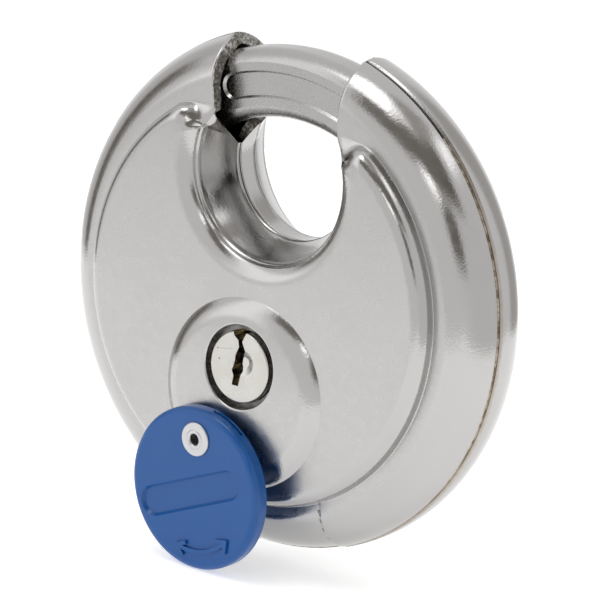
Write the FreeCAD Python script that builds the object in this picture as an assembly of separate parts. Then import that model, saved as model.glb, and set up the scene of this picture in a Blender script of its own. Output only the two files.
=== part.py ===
import FreeCAD, Part
import math
import os
from FreeCAD import Placement, Rotation, Vector

os.makedirs("parts", exist_ok=True)

# A disc padlock: two pressed stainless cups joined at the rim, a round bar shackle that
# turns in the rim channel, and a pin-tumbler cylinder that turns it through a crank.
# Millimetres. X is to the right, Z is up and -Y is the keyhole side. While modelling,
# Y = 0 is the middle of the rim; save() then puts the origin on the rear face.
# Angles round the disc are clockwise from the top, as seen from the keyhole side.

# --- driving dimensions -------------------------------------------------------------
BODY_RADIUS = 35.0            # nominal 70 mm disc
RIM_TUBE_RADIUS = 7.3         # outside of the round rim
RIM_RING = BODY_RADIUS - RIM_TUBE_RADIUS
WALL = 1.5                    # pressed sheet
FACE_Y = 9.6                  # flat faces, front and back, from the rim's middle
FACE_EDGE_RADIUS = 2.0
FACE_RADIUS = 28.0            # flat face with its rounded edge
FOOT_RADIUS = 0.6             # hollow corner between the face's edge and the rim
BAND_RADIUS = 29.8            # narrow flat band, then the rim curves away
SEAM_Y = -1.4                 # joint of the two cups at the rim
THROAT_SEAM_Y = -1.7          # the same joint inside the throat
SEAM_GAP = 0.06
THROAT_SEAM_GAP = 0.2
SEAM_GROOVE = (34.25, 0.1, 35.3, 0.45)   # bottom and top: radius, half width
WELD_BED = (34.28, 0.1)
WELD_TOE = (34.55, 0.2)
WELD_CROWN_RADIUS = 34.7

THROAT_Z = 17.06
THROAT_RADIUS = 9.98
THROAT_LIP_RADIUS = 3.3       # the face rolls over into the throat...
THROAT_LIP_CENTRE = 15.0
THROAT_CREASE_RADIUS = 12.6   # ...down to a crease with a small step
THROAT_STEP = 0.22
THROAT_STRAIGHT = 1.6         # half length of the straight part of the throat
THROAT_REAR_WIDER = 1.4       # the lip and crease at the back are this much wider
HORN_EDGE = ((10.4, 22.3), (13.9, 24.2))   # the raised face ends here, below each mouth
HORN_EDGE_RADIUS = 1.9
HORN_EDGE_RUN = (9.0, 20.0)   # how far that end is carried on, inward and outward
HORN_BAND_END = ((13.3, 25.4), (11.4, 28.2))   # and the band beside it runs out here
# The ends of the rim's cut, as x and z of a low and a high point.
LEFT_MOUTH_FRONT = ((-9.9, 18.0), (-12.4, 33.0))
LEFT_MOUTH_REAR = ((-9.9, 18.0), (-13.6, 32.0))
RIGHT_MOUTH = ((10.0, 18.0), (9.3, 33.6))

BOSS_Z = -12.8
BOSS_RADIUS = 12.97
BOSS_TOP_Y = -11.47
BOSS_DOME_RADIUS = 99.0
BOSS_EDGE_START = 9.9         # radius where the dome turns down to the face
BOSS_EDGE_RADIUS = 5.0
BOSS_INNER_RADIUS = 11.0
BOSS_INNER_Y = -9.9
BOSS_FOOT_DEPTH = 0.5         # sunk into the face

SHACKLE_RADIUS = 4.7          # 9.4 mm bar
SHACKLE_RING = 28.0           # runs nearer the outside of its channel
SHACKLE_TOE = -40.6
SHACKLE_TAIL = 162.0
SHACKLE_FLAT_Y = -4.2         # its keyhole side is flat...
SHACKLE_FLAT_HALF_WIDTH = 2.95
SHACKLE_CORNER = (2.66, 20.0)    # ...with round corners: radius, and where they start in degrees
SHACKLE_TURN = 60.0
PANEL_HALF_WIDTH = 1.5        # of the panel's floor
PANEL_HALF_ANGLE = 21.0
PANEL_DEPTH = 0.35
PANEL_SLOPE = 0.3             # how much wider its sloping sides make it

PLUG_Z = -9.0
PLUG_NOSE_RADIUS = 4.85
PLUG_RADIUS = 4.5
BORE_CLEARANCE = 0.05
PLUG_NOSE_EDGE = 0.2
PLUG_FRONT_Y = -11.1
PLUG_SHOULDER_Y = -8.8
PLUG_REAR_Y = 3.05
KEYWAY_END_Y = 2.6
KEYWAY_DISH = (0.55, 0.7, 1.7, 0.5)    # x, z from the plug's middle, radius, depth
PLUG_MARKS = (((-3.9, 1.8), (-1.4, 2.3)), ((-3.5, 0.4), (-1.5, 1.4)))
PLUG_MARK = (0.17, 0.12)         # width, depth
FACE_HOLE_RADIUS = 5.4

CORE_RADIUS = 23.1            # its rim guides the inside of the shackle
CORE_FRONT_Y = -7.95
CORE_HUB_Y = -8.7
CORE_REAR_Y = 3.0
CORE_TOP_Z = 14.0
CORE_THROAT_GAP = 0.3
ANTI_DRILL_Y = (-9.85, -8.75)
ANTI_DRILL_RADIUS = 10.6
ANTI_DRILL_CLEARANCE = 0.1
STUD_X = 7.8
STUD_Z = -16.9
STUD_RADIUS = 1.25
STUD_CLEARANCE = 0.1
NUT_ACROSS_FLATS = 4.5
NUT_REAR_Y = 4.3

PIN_COUNT = 5
PIN_FIRST_Y = -7.4
PIN_PITCH = 2.3
PIN_RADIUS = 0.9
CHAMBER_RADIUS = 0.95
KEY_PIN_CONE = 0.8
KEY_PIN_TIP_RADIUS = 0.25
DRIVER_WAIST = (0.8, 1.5, 0.65)  # from its foot, length, radius
KEY_PIN_BASE_Z = -13.40
KEY_PIN_LENGTHS = (3.9, 4.5, 3.3, 4.2, 3.6)
CHAMBER_TOP_Z = -7.4
DRIVER_TOP_Z = -13.57
DRIVER_LENGTH = 3.0
SPRING_FOOT_Z = -21.5
SPRING_MEAN_RADIUS = 0.65
SPRING_WIRE = 0.2
SPRING_PITCH = 0.62
SPRING_END_GAP = 0.02
STRIP_HALF_WIDTH = 1.5
STRIP_BOTTOM_Z = -22.3

CRANK_RADIUS = -PLUG_Z * math.tan(math.radians(SHACKLE_TURN / 2))
CRANK_PIN_RADIUS = 1.5
CAM_Y = (3.15, 4.4)
CAM_HUB_RADIUS = 3.4
CAM_END_RADIUS = 2.3
TAIL_RADIUS = 2.3
TAIL_HALF_FLATS = 1.6
CRANK_PIN_END_Y = 6.3
SLOT_END_CLEARANCE = 0.1
CARRIER_Y = (4.55, 6.45)
CARRIER_INNER_RADIUS = 6.5
CARRIER_FAN_HALF_ANGLE = 24.0
CARRIER_FOOT_Y = (3.2, 5.1)
CARRIER_FOOT_ANGLES = (137.0, 161.0)
CARRIER_FOOT_RADII = (21.4, 29.4)
SEAT_MARGIN = 2.0             # degrees of the shackle cut flat beyond the foot
SLOT_HALF_WIDTH = 1.84        # wider than the crank pin: the turn is kept at one ratio
RIVET_ANGLES = (143.0, 155.0)
RIVET_RING = 27.0
RIVET_RADIUS = 1.0
RIVET_HEAD = 0.8
RIVET_START_Y = -1.0

WELD_START = 41.5             # the joint is open from each mouth to this angle

COVER_PIVOT = Vector(-3.75, -14.3, -19.25)
COVER_LEAN = (-2.9, -2.8)     # degrees: the cover's face turns a little left and down
COVER_RADIUS = 11.1
COVER_OFFSET = 7.0            # pivot to the middle of the disc
COVER_THICKNESS = 2.3
COVER_EDGE_RADIUS = 0.9
COVER_REAR_CHAMFER = 0.2
COVER_SKIN = 1.1
COVER_SKIRT = 1.2
COVER_TILT = 22.7             # the panel's slope as the cover hangs
COVER_PANEL = (18.1, 4.2, 0.45)
COVER_PANEL_SLOPE = 0.35         # how much wider its sloping sides make it
COVER_PANEL_AT = (-0.6, -7.7)
ARROW_RING = 8.45
ARROW_HALF_ANGLE = 31.0
ARROW_TILT = 16.0             # its middle, from the cover's own down direction
ARROW_WIDTH = 0.55
ARROW_HEIGHT = 0.35
ARROW_BARB = (1.9, 38.0)         # length, and degrees from the arrow's line
NAIL_SLOT_ANGLES = (8.0, 37.0)
NAIL_SLOT = (0.7, 1.35, 1.75)    # depth into the edge, and its two sides
EYELET_FLANGE_RADIUS = 2.32
EYELET_TUBE_RADIUS = 1.25
EYELET_HOLE_RADIUS = 0.75
EYELET_TAIL_Y = 4.7
EYELET_TAIL = (0.8, 0.35)        # flare and thickness behind the shell
EYELET_POCKET_RADIUS = 2.7
EYELET_POCKET_DEPTH = 7.0
SPACER_RADIUS = 3.6
SPACER_REACH = 4.0
COVER_RUNNING_GAP = 0.06

Y_AXIS = Vector(0, 1, 0)
Z_AXIS = Vector(0, 0, 1)
FAR = 60.0


# --- helpers ------------------------------------------------------------------------
def on_circle(centre, radius, degrees):
    """A point of a circle in the (radius, y) plane."""
    a = math.radians(degrees)
    return (centre[0] + radius * math.cos(a), centre[1] + radius * math.sin(a))


def outline_face(start, steps):
    """A flat face in the XY plane. A step is an end point, or (middle, end) for an arc."""
    edges = []
    here = Vector(start[0], start[1], 0)
    for step in steps + [start]:
        if isinstance(step[0], tuple):
            middle, end = (Vector(p[0], p[1], 0) for p in step)
            edges.append(Part.Arc(here, middle, end).toShape())
        else:
            end = Vector(step[0], step[1], 0)
            if end.distanceToPoint(here) > 1e-7:
                edges.append(Part.LineSegment(here, end).toShape())
        here = end
    return Part.Face(Part.Wire(edges))


def revolve(face, at_z=0.0, angle=360.0, start=0.0):
    """Turn a (radius, y) face about the Y direction through x = 0, z = at_z."""
    solid = face.revolve(Vector(0, 0, 0), Y_AXIS, angle)
    solid.rotate(Vector(0, 0, 0), Y_AXIS, start - 90.0)
    solid.translate(Vector(0, 0, at_z))
    return solid


def rod(radius, y0, y1, x=0.0, z=0.0):
    return Part.makeCylinder(radius, y1 - y0, Vector(x, y0, z), Y_AXIS)


def sector(radii, ys, angles):
    """A flat ring piece about the disc's axis, between two clockwise angles."""
    face = outline_face((radii[0], ys[0]), [(radii[1], ys[0]), (radii[1], ys[1]), (radii[0], ys[1])])
    return revolve(face, angle=angles[1] - angles[0], start=angles[0])


def round_disc_point(ring, degrees):
    """X and Z of a point on a ring about the disc's axis, clockwise from the top."""
    a = math.radians(degrees)
    return ring * math.sin(a), ring * math.cos(a)


def slab(points, y0, y1):
    """A prism along Y with the given (x, z) outline."""
    corners = [Vector(x, y0, z) for x, z in points]
    face = Part.Face(Part.makePolygon(corners + corners[:1]))
    return face.extrude(Vector(0, y1 - y0, 0))


def save(name, shape):
    moved = shape.copy()
    moved.translate(Vector(0, -FACE_Y, 0))
    moved.exportStep("parts/" + name + ".step")
    print(name, "valid" if moved.isValid() else "NOT VALID", round(moved.Volume, 2),
          len(moved.Solids))


# --- the two cups -------------------------------------------------------------------
def rim_tube(radius):
    return Part.makeTorus(RIM_RING, radius, Vector(0, 0, 0), Y_AXIS)


def body_envelope():
    """The outside of both cups, before the throat and the mouths are cut."""
    ring = (RIM_RING, 0.0)
    edge = (FACE_RADIUS - FACE_EDGE_RADIUS, FACE_Y - FACE_EDGE_RADIUS)
    band_y = math.sqrt(RIM_TUBE_RADIUS ** 2 - (BAND_RADIUS - RIM_RING) ** 2)
    foot = (FACE_RADIUS + FOOT_RADIUS, band_y + FOOT_RADIUS)
    face_rim = (edge[0], FACE_Y)
    edge_middle = on_circle(edge, FACE_EDGE_RADIUS, 45)
    edge_foot = (FACE_RADIUS, edge[1])
    wall_foot = (FACE_RADIUS, foot[1])
    foot_middle = on_circle(foot, FOOT_RADIUS, 225)
    band_start = (foot[0], band_y)
    band_end = (BAND_RADIUS, band_y)

    def flip(point):
        return (point[0], -point[1])

    back = [face_rim, (edge_middle, edge_foot), wall_foot, (foot_middle, band_start), band_end,
            (on_circle(ring, RIM_TUBE_RADIUS, 35), (BODY_RADIUS, 0.0))]
    front = [(on_circle(ring, RIM_TUBE_RADIUS, -35), flip(band_end)), flip(band_start),
             (flip(foot_middle), flip(wall_foot)), flip(edge_foot),
             (flip(edge_middle), flip(face_rim)), (0.0, -FACE_Y)]
    shape = revolve(outline_face((0.0, FACE_Y), back + front))
    shape = shape.fuse(rim_tube(RIM_TUBE_RADIUS).common(horn_zone()))
    for side in (-1, 1):
        for front_or_back in (-1, 1):
            shape = shape.cut(horn_relief(side, front_or_back).cut(rim_tube(RIM_TUBE_RADIUS)))
    return shape


def horn_zone():
    """Where the rim stays a full round tube: between the ends of the two bands."""
    (x0, z0), (x1, z1) = HORN_BAND_END
    x2, z2 = x1 + 3 * (x1 - x0), z1 + 3 * (z1 - z0)
    right = [(x0, THROAT_Z), (x0, z0), (x1, z1), (x2, z2)]
    left = [(-x, z) for x, z in reversed(right)]
    return slab(right + left, -FAR, FAR)


def body_hollow():
    """The inside of both cups: the flat middle and the round channel in the rim."""
    inner_y = FACE_Y - WALL
    middle = rod(FACE_RADIUS - WALL, -inner_y, inner_y)
    for side in (-1, 1):
        middle = middle.cut(horn_side(side))
    return middle, rim_tube(RIM_TUBE_RADIUS - WALL)


def throat_cutter(offset):
    """The flared round throat, its wall moved out by offset."""
    radius = THROAT_RADIUS + offset
    lip = THROAT_LIP_RADIUS - offset
    crease = THROAT_CREASE_RADIUS + offset
    centre_y = FACE_Y - THROAT_LIP_RADIUS
    reach = THROAT_LIP_CENTRE - crease
    last = math.degrees(math.acos(reach / lip))
    crease_y = centre_y + math.sqrt(lip ** 2 - reach ** 2)

    def half(sign, wider):
        centre = (THROAT_LIP_CENTRE + wider, sign * centre_y)
        middle = on_circle(centre, lip, sign * (90 + (90 - last) / 2))
        return [
            (THROAT_LIP_CENTRE + wider, sign * (FACE_Y + 2)),
            (THROAT_LIP_CENTRE + wider, sign * (centre_y + lip)),
            middle,
            (crease + wider, sign * crease_y),
            (crease + wider - THROAT_STEP, sign * crease_y),
            (crease + wider - THROAT_STEP, sign * (crease_y - THROAT_STEP)),
            (radius, sign * THROAT_STRAIGHT),
        ]

    front = half(-1, 0.0)
    back = half(1, THROAT_REAR_WIDER)
    steps = [(0.0, -FACE_Y - 2), front[0], front[1], (front[2], front[3])] + front[4:]
    steps += [back[6], back[5], back[4], back[3], (back[2], back[1]), back[0]]
    return revolve(outline_face((0.0, FACE_Y + 2), steps), at_z=THROAT_Z)


def horn_side(side):
    """All that lies beyond the raised face's end at a mouth, and one wall's thickness more."""
    (x0, z0), (x1, z1) = HORN_EDGE
    run = Vector(x1 - x0, 0, z1 - z0).normalize()
    out = Vector(-run.z, 0, run.x)
    back, on = HORN_EDGE_RUN
    start = Vector(x0, 0, z0) - out * WALL
    corners = [start - run * back, start + run * on, start + run * on + out * on,
               start - run * back + out * on]
    return slab([(side * p.x, p.z) for p in corners], -FAR, FAR)


def horn_relief(side, front_or_back):
    """The space over the tube beside a mouth, where the raised face ends in a rounded edge.

    side is -1 for the left horn and 1 for the right; front_or_back is -1 for the front."""
    (x0, z0), (x1, z1) = HORN_EDGE
    low = FACE_Y - HORN_EDGE_RADIUS
    reach = 20.0
    length = 24.0
    edge_middle = on_circle((-HORN_EDGE_RADIUS, low), HORN_EDGE_RADIUS, 45)
    steps = [(0.0, 0.0), (0.0, low), (edge_middle, (-HORN_EDGE_RADIUS, FACE_Y)),
             (-HORN_EDGE_RADIUS, FACE_Y + 1), (reach, FACE_Y + 1)]
    shape = outline_face((reach, 0.0), steps).extrude(Vector(0, 0, length))
    shape.translate(Vector(0, 0, -length / 2))
    slope = math.degrees(math.atan2(z1 - z0, x1 - x0))
    shape.rotate(Vector(0, 0, 0), Y_AXIS, -90.0 - slope)
    shape.translate(Vector((x0 + x1) / 2, 0, (z0 + z1) / 2))
    if side < 0:
        shape = shape.mirror(Vector(0, 0, 0), Vector(1, 0, 0))
    if front_or_back < 0:
        shape = shape.mirror(Vector(0, 0, 0), Y_AXIS)
    return shape


def mouth_cutter():
    """Everything between the two cut ends of the rim."""
    def along(line, z):
        (x0, z0), (x1, z1) = line
        return (x0 + (x1 - x0) * (z - z0) / (z1 - z0), z)

    def side(left, y0, y1):
        top = BODY_RADIUS + 5
        low = left[0][1]
        points = [along(left, low), along(left, top), along(RIGHT_MOUTH, top), along(RIGHT_MOUTH, low)]
        return slab(points, y0, y1)

    return side(LEFT_MOUTH_FRONT, -FAR / 2, SEAM_Y).fuse(side(LEFT_MOUTH_REAR, SEAM_Y, FAR / 2))


def boss_outside():
    """The raised round boss: a shallow dome with a broad rounded edge."""
    drop = BOSS_DOME_RADIUS - math.sqrt(BOSS_DOME_RADIUS ** 2 - BOSS_EDGE_START ** 2)
    start = (BOSS_EDGE_START, BOSS_TOP_Y + drop)
    lean = math.asin(BOSS_EDGE_START / BOSS_DOME_RADIUS)
    centre = (start[0] - BOSS_EDGE_RADIUS * math.sin(lean),
              start[1] + BOSS_EDGE_RADIUS * math.cos(lean))
    reach = BOSS_RADIUS - centre[0]
    end = (BOSS_RADIUS, centre[1] - math.sqrt(BOSS_EDGE_RADIUS ** 2 - reach ** 2))
    first = math.degrees(math.atan2(start[1] - centre[1], start[0] - centre[0]))
    last = math.degrees(math.atan2(end[1] - centre[1], end[0] - centre[0]))
    dome = (0.0, BOSS_TOP_Y + BOSS_DOME_RADIUS)
    half_dome = -90 + math.degrees(lean) / 2
    steps = [
        (on_circle(dome, BOSS_DOME_RADIUS, half_dome), start),
        (on_circle(centre, BOSS_EDGE_RADIUS, (first + last) / 2), end),
        (BOSS_RADIUS, -FACE_Y + BOSS_FOOT_DEPTH),
        (0.0, -FACE_Y + BOSS_FOOT_DEPTH),
    ]
    return revolve(outline_face((0.0, BOSS_TOP_Y), steps), at_z=BOSS_Z)


def seam_groove():
    r0, half0, r1, half1 = SEAM_GROOVE
    points = [(r0, SEAM_Y + half0), (r1, SEAM_Y + half1), (r1, SEAM_Y - half1)]
    return revolve(outline_face((r0, SEAM_Y - half0), points))


def weld_bead():
    """The weld that fills the seam's groove, round the disc away from the mouths."""
    (r0, half0), (r1, half1) = WELD_BED, WELD_TOE
    crown = ((WELD_CROWN_RADIUS, SEAM_Y), (r1, SEAM_Y + half1))
    face = outline_face((r0, SEAM_Y - half0), [(r1, SEAM_Y - half1), crown, (r0, SEAM_Y + half0)])
    return revolve(face, angle=360 - 2 * WELD_START, start=WELD_START)


def cups():
    outside = body_envelope().cut(throat_cutter(0.0))
    middle, channel = body_hollow()
    hollow = middle.cut(throat_cutter(WALL))
    shell = outside.cut(hollow).cut(channel).cut(mouth_cutter()).cut(seam_groove())
    throat_zone = rod(THROAT_RADIUS + 2 * WALL, THROAT_SEAM_Y, SEAM_Y, z=THROAT_Z)
    front_zone = Part.makeBox(2 * FAR, FAR, 2 * FAR, Vector(-FAR, SEAM_Y - FAR, -FAR))
    front_zone = front_zone.cut(throat_zone)
    front = shell.common(front_zone)
    rear_zone = Part.makeBox(2 * FAR, FAR, 2 * FAR, Vector(-FAR, SEAM_Y + SEAM_GAP, -FAR))
    low_zone = rod(THROAT_RADIUS + 2 * WALL, THROAT_SEAM_Y + THROAT_SEAM_GAP, SEAM_Y + 1, z=THROAT_Z)
    rear = shell.common(rear_zone.fuse(low_zone))
    front = front.fuse(boss_outside())
    front = front.cut(rod(BOSS_INNER_RADIUS, BOSS_INNER_Y, 0.0, z=BOSS_Z))
    front = front.cut(rod(FACE_HOLE_RADIUS, -FAR, 0.0, z=PLUG_Z))
    front = front.cut(eyelet_frame(rod(EYELET_TUBE_RADIUS, -FAR, FAR)))
    return front.removeSplitter(), rear.removeSplitter()


# --- cylinder -----------------------------------------------------------------------
def keyway_slot():
    """The crooked key slot, open at the top of the plug."""
    points = [
        (0.9, 5.2), (0.4, 4.1), (0.15, 3.5), (0.75, 2.4), (0.2, 1.2), (0.15, 0.4),
        (0.5, -0.5), (0.3, -1.1), (0.05, -2.6), (-1.0, -2.6), (-0.85, -1.3),
        (-1.2, -0.6), (-0.95, 0.1), (-0.85, 1.4), (-0.3, 2.7), (-0.5, 3.6), (-1.2, 4.1),
        (-1.7, 5.2),
    ]
    return slab([(x, z + PLUG_Z) for x, z in points], PLUG_FRONT_Y - 1, KEYWAY_END_Y)


def pin_ys():
    return [PIN_FIRST_Y + PIN_PITCH * i for i in range(PIN_COUNT)]


def chamber(y, z0, z1):
    return Part.makeCylinder(CHAMBER_RADIUS, z1 - z0, Vector(0, y, z0), Z_AXIS)


def tail_shape(y0, y1):
    """The plug's tail: a round stud with two flats."""
    stud = rod(TAIL_RADIUS, y0, y1, z=PLUG_Z)
    keep = Part.makeBox(2 * TAIL_RADIUS, y1 - y0, 2 * TAIL_HALF_FLATS,
                        Vector(-TAIL_RADIUS, y0, PLUG_Z - TAIL_HALF_FLATS))
    return stud.common(keep)


def plug_face_cuts():
    """A shallow dish round the keyway's middle, and two short engraved strokes."""
    x, z, radius, depth = KEYWAY_DISH
    cuts = [Part.makeCone(radius, radius - 2 * depth, depth, Vector(x, PLUG_FRONT_Y, PLUG_Z + z), Y_AXIS)]
    width, deep = PLUG_MARK
    for (x0, z0), (x1, z1) in PLUG_MARKS:
        stroke = Part.makeBox(math.hypot(x1 - x0, z1 - z0), 2 * deep, width,
                              Vector(0, PLUG_FRONT_Y - deep, -width / 2))
        stroke.rotate(Vector(0, 0, 0), Y_AXIS, -math.degrees(math.atan2(z1 - z0, x1 - x0)))
        stroke.translate(Vector(x0, 0, PLUG_Z + z0))
        cuts.append(stroke)
    return cuts


def plug():
    nose = rod(PLUG_NOSE_RADIUS, PLUG_FRONT_Y, PLUG_SHOULDER_Y, z=PLUG_Z)
    front_edge = [e for e in nose.Edges if abs(e.CenterOfMass.y - PLUG_FRONT_Y) < 0.01]
    nose = nose.makeFillet(PLUG_NOSE_EDGE, front_edge)
    body = rod(PLUG_RADIUS, PLUG_SHOULDER_Y, PLUG_REAR_Y, z=PLUG_Z)
    shape = nose.fuse(body).fuse(tail_shape(PLUG_REAR_Y, CAM_Y[1]))
    shape = shape.cut(keyway_slot())
    for y in pin_ys():
        shape = shape.cut(chamber(y, PLUG_Z - 6, CHAMBER_TOP_Z))
    for cut in plug_face_cuts():
        shape = shape.cut(cut)
    return shape.removeSplitter()


def anti_drill_plate():
    shape = rod(ANTI_DRILL_RADIUS, ANTI_DRILL_Y[0], ANTI_DRILL_Y[1], z=BOSS_Z)
    shape = shape.cut(rod(PLUG_NOSE_RADIUS + ANTI_DRILL_CLEARANCE, -FAR, FAR, z=PLUG_Z))
    shape = shape.cut(eyelet_frame(rod(EYELET_POCKET_RADIUS, -FAR, FAR)))
    for x in (-STUD_X, STUD_X):
        shape = shape.cut(rod(STUD_RADIUS + STUD_CLEARANCE, -FAR, FAR, x=x, z=STUD_Z))
    return shape


def lock_core():
    """The block that fills the cups, with the plug's bore and the pin chambers."""
    disc = rod(CORE_RADIUS, CORE_FRONT_Y, CORE_REAR_Y)
    disc = disc.cut(throat_cutter(WALL + CORE_THROAT_GAP))
    disc = disc.cut(Part.makeBox(2 * FAR, 2 * FAR, FAR, Vector(-FAR, -FAR, CORE_TOP_Z)))
    shape = disc.fuse(rod(ANTI_DRILL_RADIUS, CORE_HUB_Y, CORE_FRONT_Y + 1, z=BOSS_Z))
    shape = shape.cut(rod(PLUG_RADIUS + BORE_CLEARANCE, -FAR, FAR, z=PLUG_Z))
    for y in pin_ys():
        shape = shape.cut(chamber(y, -CORE_RADIUS - 1, PLUG_Z))
    groove = Part.makeBox(2 * STRIP_HALF_WIDTH, PIN_PITCH * PIN_COUNT, 2.0,
                          Vector(-STRIP_HALF_WIDTH, strip_start(), SPRING_FOOT_Z - 2.0))
    shape = shape.cut(groove)
    for x in (-STUD_X, STUD_X):
        shape = shape.cut(rod(STUD_RADIUS + STUD_CLEARANCE, -FAR, FAR, x=x, z=STUD_Z))
    shape = shape.cut(eyelet_frame(rod(EYELET_POCKET_RADIUS, 0.0, EYELET_POCKET_DEPTH)))
    return shape.removeSplitter()


def strip_start():
    return PIN_FIRST_Y - PIN_PITCH / 2 + 0.1


def chamber_strip():
    return Part.makeBox(2 * STRIP_HALF_WIDTH, PIN_PITCH * PIN_COUNT, SPRING_FOOT_Z - STRIP_BOTTOM_Z,
                        Vector(-STRIP_HALF_WIDTH, strip_start(), STRIP_BOTTOM_Z))


def key_pin(y, length):
    """A pin in the plug, pointed where the key lifts it."""
    shank_length = length - KEY_PIN_CONE
    shank = Part.makeCylinder(PIN_RADIUS, shank_length, Vector(0, y, KEY_PIN_BASE_Z), Z_AXIS)
    tip = Part.makeCone(PIN_RADIUS, KEY_PIN_TIP_RADIUS, KEY_PIN_CONE,
                        Vector(0, y, KEY_PIN_BASE_Z + shank_length), Z_AXIS)
    return shank.fuse(tip)


def driver_pin(y):
    """A spool pin in the core, below the plug."""
    foot = DRIVER_TOP_Z - DRIVER_LENGTH
    rise, length, radius = DRIVER_WAIST
    shape = Part.makeCylinder(PIN_RADIUS, DRIVER_LENGTH, Vector(0, y, foot), Z_AXIS)
    around = Part.makeCylinder(PIN_RADIUS + 1, length, Vector(0, y, foot + rise), Z_AXIS)
    around = around.cut(Part.makeCylinder(radius, length, Vector(0, y, foot + rise), Z_AXIS))
    return shape.cut(around)


def pin_spring(y):
    low = SPRING_FOOT_Z + SPRING_WIRE / 2
    high = DRIVER_TOP_Z - DRIVER_LENGTH - SPRING_WIRE / 2 - SPRING_END_GAP
    helix = Part.makeHelix(SPRING_PITCH, high - low, SPRING_MEAN_RADIUS)
    start = Vector(SPRING_MEAN_RADIUS, 0, 0)
    section = Part.Wire(Part.makeCircle(SPRING_WIRE / 2, start, Vector(0, 1, 0)))
    coil = Part.Wire(helix.Edges).makePipeShell([section], True, True)
    coil.translate(Vector(0, y, low))
    return coil


def core_studs():
    parts = [rod(STUD_RADIUS, BOSS_INNER_Y, NUT_REAR_Y, x=x, z=STUD_Z)
             for x in (-STUD_X, STUD_X)]
    return Part.makeCompound(parts)


def core_nuts():
    corner = NUT_ACROSS_FLATS / math.sqrt(3)
    nuts = []
    for x in (-STUD_X, STUD_X):
        points = [(x + corner * math.cos(math.radians(a)), STUD_Z + corner * math.sin(math.radians(a)))
                  for a in range(0, 360, 60)]
        nut = slab(points, CORE_REAR_Y, NUT_REAR_Y)
        nuts.append(nut.cut(rod(STUD_RADIUS, -FAR, FAR, x=x, z=STUD_Z)))
    return Part.makeCompound(nuts)


# --- drive --------------------------------------------------------------------------
def drive_cam():
    hub = rod(CAM_HUB_RADIUS, CAM_Y[0], CAM_Y[1], z=PLUG_Z)
    end = rod(CAM_END_RADIUS, CAM_Y[0], CAM_Y[1], x=CRANK_RADIUS, z=PLUG_Z)
    arm = Part.makeBox(CRANK_RADIUS, CAM_Y[1] - CAM_Y[0], 2 * CAM_END_RADIUS,
                       Vector(0, CAM_Y[0], PLUG_Z - CAM_END_RADIUS))
    shape = hub.fuse(end).fuse(arm)
    shape = shape.cut(tail_shape(CAM_Y[0], CAM_Y[1]))
    shape = shape.cut(rod(CRANK_PIN_RADIUS, -FAR, FAR, x=CRANK_RADIUS, z=PLUG_Z))
    return shape.removeSplitter()


def crank_pin():
    return rod(CRANK_PIN_RADIUS, CAM_Y[0], CRANK_PIN_END_Y, x=CRANK_RADIUS, z=PLUG_Z)


def slot_shape():
    """The crank pin's radial slot, cut along the fan's middle line."""
    nearest = math.hypot(CRANK_RADIUS, PLUG_Z) - SLOT_END_CLEARANCE
    furthest = CRANK_RADIUS - PLUG_Z + SLOT_END_CLEARANCE
    near = rod(SLOT_HALF_WIDTH, -FAR, FAR, z=nearest)
    far = rod(SLOT_HALF_WIDTH, -FAR, FAR, z=furthest)
    side = Part.makeBox(2 * SLOT_HALF_WIDTH, 2 * FAR, furthest - nearest,
                        Vector(-SLOT_HALF_WIDTH, -FAR, nearest))
    slot = near.fuse(far).fuse(side)
    slot.rotate(Vector(0, 0, 0), Y_AXIS, slot_angle())
    return slot


def slot_angle():
    return 180.0 - SHACKLE_TURN / 2


def rivets():
    parts = []
    for angle in RIVET_ANGLES:
        x, z = round_disc_point(RIVET_RING, angle)
        shank = rod(RIVET_RADIUS, RIVET_START_Y, CARRIER_FOOT_Y[1], x=x, z=z)
        head = Part.makeCone(RIVET_RADIUS, RIVET_RADIUS + RIVET_HEAD, RIVET_HEAD,
                             Vector(x, CARRIER_FOOT_Y[1] - RIVET_HEAD, z), Y_AXIS)
        parts.append(shank.fuse(head))
    return Part.makeCompound(parts)


def carrier_plate():
    fan_angles = (slot_angle() - CARRIER_FAN_HALF_ANGLE, slot_angle() + CARRIER_FAN_HALF_ANGLE)
    shape = sector((CARRIER_INNER_RADIUS, CORE_RADIUS), CARRIER_Y, fan_angles)
    shape = shape.fuse(sector(CARRIER_FOOT_RADII, CARRIER_FOOT_Y, CARRIER_FOOT_ANGLES))
    return shape.cut(slot_shape()).cut(rivets()).removeSplitter()


def shackle_section():
    """Round at the back, flat in front between two round corners."""
    radius, first = SHACKLE_CORNER
    low = (SHACKLE_RING - SHACKLE_RADIUS, 0.0)
    high = (SHACKLE_RING + SHACKLE_RADIUS, 0.0)
    corner = (SHACKLE_RADIUS - radius, SHACKLE_FLAT_Y + radius * math.cos(math.radians(first)))
    middle = on_circle(corner, radius, -(90 - first) / 2)

    def place(side, point):
        return (SHACKLE_RING + side * point[0], point[1])

    flat_end = (SHACKLE_FLAT_HALF_WIDTH, SHACKLE_FLAT_Y)
    side_start = (SHACKLE_RADIUS, corner[1])
    back = (SHACKLE_RING, SHACKLE_RADIUS)
    return outline_face(low, [
        place(-1, side_start), (place(-1, middle), place(-1, flat_end)), place(1, flat_end),
        (place(1, middle), place(1, side_start)), high, (back, low),
    ])


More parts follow.
